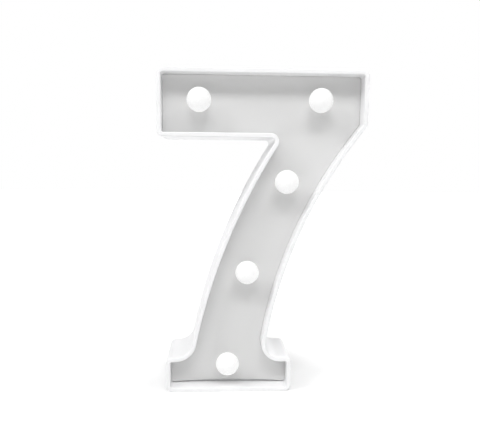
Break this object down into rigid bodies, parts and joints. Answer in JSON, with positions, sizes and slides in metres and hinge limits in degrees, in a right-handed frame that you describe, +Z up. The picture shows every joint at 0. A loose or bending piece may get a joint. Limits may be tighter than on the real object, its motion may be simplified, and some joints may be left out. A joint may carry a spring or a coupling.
{
  "type": "light up marquee number",
  "caption": "Free-standing figure 7 in white plastic: a deep open tray with frosted globes on its panel, a battery bay and slide switch in the back cover.",
  "frame": {"origin": "centre of the bounding box on the surface that the foot stands on", "axes": "+Z up along the figure's height, -Y towards the open front, +X to the right seen from the front"},
  "size_m": [0.1394, 0.05, 0.22],
  "materials": {
    "shell_white": "moulded white plastic, satin gloss",
    "panel_white": "moulded white plastic, fine matt texture",
    "globe_white": "frosted white plastic",
    "holder_white": "moulded white plastic, plain",
    "diode_clear": "clear epoxy with a pale yellow die",
    "cover_white": "moulded white plastic, fine matt texture",
    "door_white": "moulded white plastic, fine matt texture",
    "cell_jacket": "plain printed cell sleeve over metal",
    "contact_metal": "nickel-plated spring steel",
    "switch_black": "black moulded plastic",
    "switch_steel": "plated pressed steel",
    "screw_steel": "zinc-plated screws",
    "resistor_tan": "lacquered resistor body",
    "lead_red": "red insulated stranded wire",
    "lead_black": "black insulated stranded wire"
  },
  "bodies": {
    "housing": {"shell": "shell_white", "face_panel": "panel_white", "globe_1": "globe_white", "globe_2": "globe_white", "globe_3": "globe_white", "globe_4": "globe_white", "globe_5": "globe_white", "bulb_holder_1": "holder_white", "bulb_holder_2": "holder_white", "bulb_holder_3": "holder_white", "bulb_holder_4": "holder_white", "bulb_holder_5": "holder_white", "led_1": "diode_clear", "led_2": "diode_clear", "led_3": "diode_clear", "led_4": "diode_clear", "led_5": "diode_clear", "back_cover": "cover_white", "cover_screw_1": "screw_steel", "cover_screw_2": "screw_steel", "cover_screw_3": "screw_steel", "cover_screw_4": "screw_steel", "cover_screw_5": "screw_steel", "cover_screw_6": "screw_steel", "cover_screw_7": "screw_steel", "cell_1": "cell_jacket", "cell_2": "cell_jacket", "contact_bridge": "contact_metal", "bridge_spring": "contact_metal", "negative_contact": "contact_metal", "negative_spring": "contact_metal", "positive_contact": "contact_metal", "switch_base": "switch_black", "switch_frame": "switch_steel", "switch_screw_1": "screw_steel", "switch_screw_2": "screw_steel", "resistor": "resistor_tan", "positive_lead": "lead_red", "negative_lead": "lead_black", "battery_positive_lead": "lead_red", "battery_negative_lead": "lead_black", "switch_lead": "lead_red", "diode_feed_lead": "lead_red"},
    "battery_door": {"battery_door": "door_white"},
    "switch_knob": {"switch_knob": "switch_black"}
  },
  "joints": [
    {"name": "door_hinge", "type": "hinge", "parent": "housing", "child": "battery_door", "pos_m": [-0.02921, 0.0234, 0.198], "axis": [0, 0, 1], "range_deg": [0, 60]},
    {"name": "switch_slide", "type": "slide", "parent": "housing", "child": "switch_knob", "axis": [0, 0, 1], "range_m": [0, 0.003]}
  ]
}
